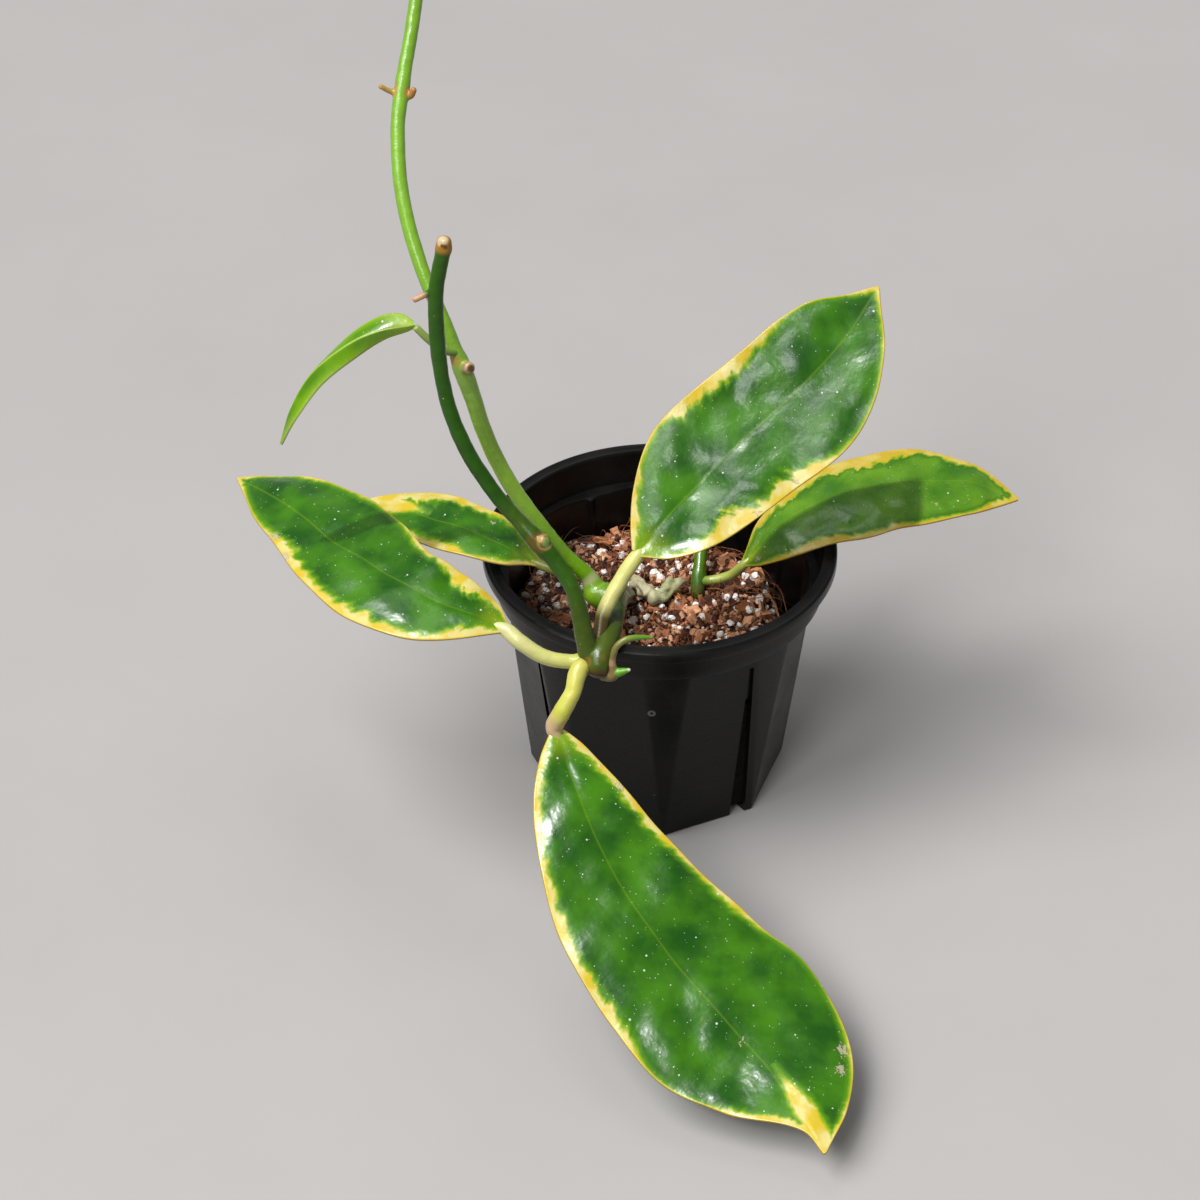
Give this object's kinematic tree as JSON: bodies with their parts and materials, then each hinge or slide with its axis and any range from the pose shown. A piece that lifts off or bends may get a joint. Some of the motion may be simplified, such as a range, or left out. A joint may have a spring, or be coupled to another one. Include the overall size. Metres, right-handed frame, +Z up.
{
  "type": "potted hoya plant",
  "caption": "Young variegated hoya with thick arching stems and fleshy yellow-edged leaves, growing in bark and coir mix in a round black nursery pot.",
  "frame": {"origin": "middle of the pot's flat underside, on the surface that it stands on", "axes": "+Z up, +X to the viewer's right, +Y away from the viewer; the large hanging leaf reaches toward -Y"},
  "size_m": [0.2226, 0.2474, 0.2702],
  "materials": {
    "pot_plastic": "satin black moulded polypropylene with fine scuffs",
    "soil_mix": "red-brown coir and bark chips with white perlite grains",
    "old_stem": "smooth dark green stem with pale specks and tan callus",
    "vine": "glossy mid green stem with pale specks",
    "young_shoot": "brown-green young shoot with a bright tip",
    "dried_shoot": "pale shrivelled plant tissue",
    "petiole": "smooth glossy yellow-green stalk",
    "leaf": "thick glossy green leaf with cream and yellow margin",
    "young_leaf": "glossy bright green young leaf"
  },
  "bodies": {
    "root": {"pot": "pot_plastic", "soil": "soil_mix", "main_stem": "old_stem", "vine_stem": "vine", "second_stem": "vine", "young_shoot": "young_shoot", "dried_shoot": "dried_shoot", "petiole_left": "petiole", "petiole_front": "petiole", "petiole_upright": "petiole", "petiole_right": "petiole", "petiole_folded": "vine", "petiole_back": "petiole", "petiole_hidden": "petiole", "leaf_left": "leaf", "leaf_front": "leaf", "leaf_upright": "leaf", "leaf_right": "leaf", "leaf_folded": "young_leaf", "leaf_back": "leaf", "leaf_hidden": "leaf"}
  },
  "joints": []
}
